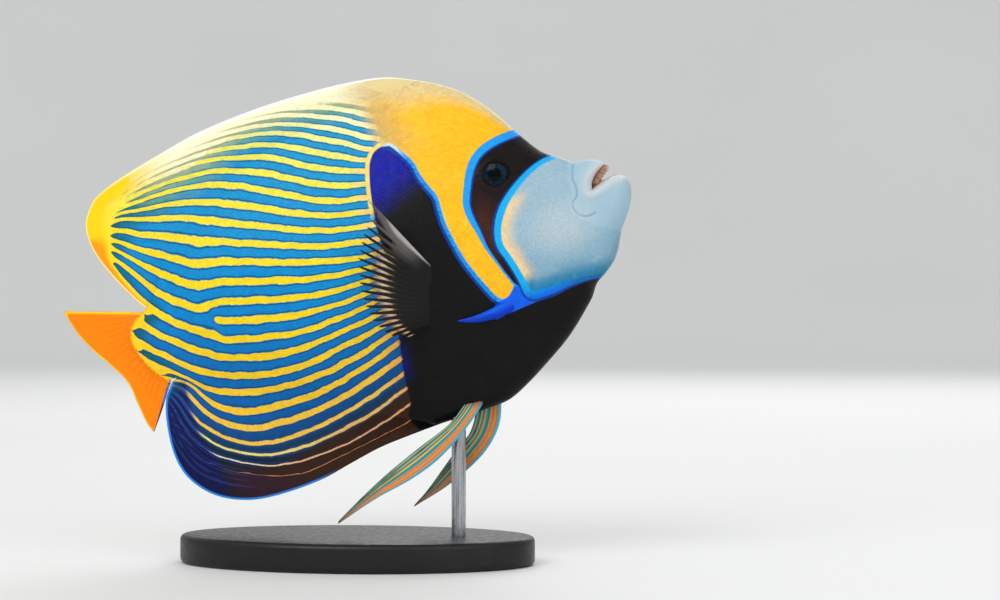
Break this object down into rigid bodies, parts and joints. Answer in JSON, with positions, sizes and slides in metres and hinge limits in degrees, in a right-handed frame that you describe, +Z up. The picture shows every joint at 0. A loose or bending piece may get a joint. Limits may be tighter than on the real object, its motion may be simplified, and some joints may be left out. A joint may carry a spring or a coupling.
{
  "type": "emperor angelfish, still life-size model on a display stand",
  "caption": "Deep, narrow striped reef fish with spread fins and a slightly open mouth, held nose up by a rod on a flat oval base.",
  "frame": {"origin": "on the floor under the middle of the whole model, at the underside of the stand's base", "axes": "+X towards the fish's nose, +Y towards its left side, +Z up"},
  "size_m": [0.3224, 0.104, 0.2716],
  "materials": {
    "striped_flank": "satin, blue with yellow stripes",
    "face": "satin, light blue-grey",
    "nape": "satin, golden yellow",
    "tail_fin": "satin, orange",
    "anal_fin": "satin, navy with a blue edge",
    "pectoral_fin": "thin, smoky black",
    "pelvic_fin": "thin, orange rays and teal webs",
    "cheek_spine": "glossy cobalt blue",
    "eye": "clear gloss over near-black",
    "stand_base": "satin black lacquer",
    "stand_rod": "brushed"
  },
  "bodies": {
    "root": {"head": "face", "upper_jaw": "face", "lower_jaw": "face", "eye_right": "eye", "eye_left": "eye", "gill_cover_right": "nape", "gill_cover_left": "nape", "cheek_spine_right": "cheek_spine", "cheek_spine_left": "cheek_spine", "torso": "striped_flank", "tail_stalk": "striped_flank", "dorsal_fin": "striped_flank", "anal_fin": "anal_fin", "caudal_fin": "tail_fin", "pectoral_fin_right": "pectoral_fin", "pectoral_fin_left": "pectoral_fin", "pelvic_fin_right": "pelvic_fin", "pelvic_fin_left": "pelvic_fin", "stand_base": "stand_base", "stand_rod": "stand_rod"}
  },
  "joints": []
}
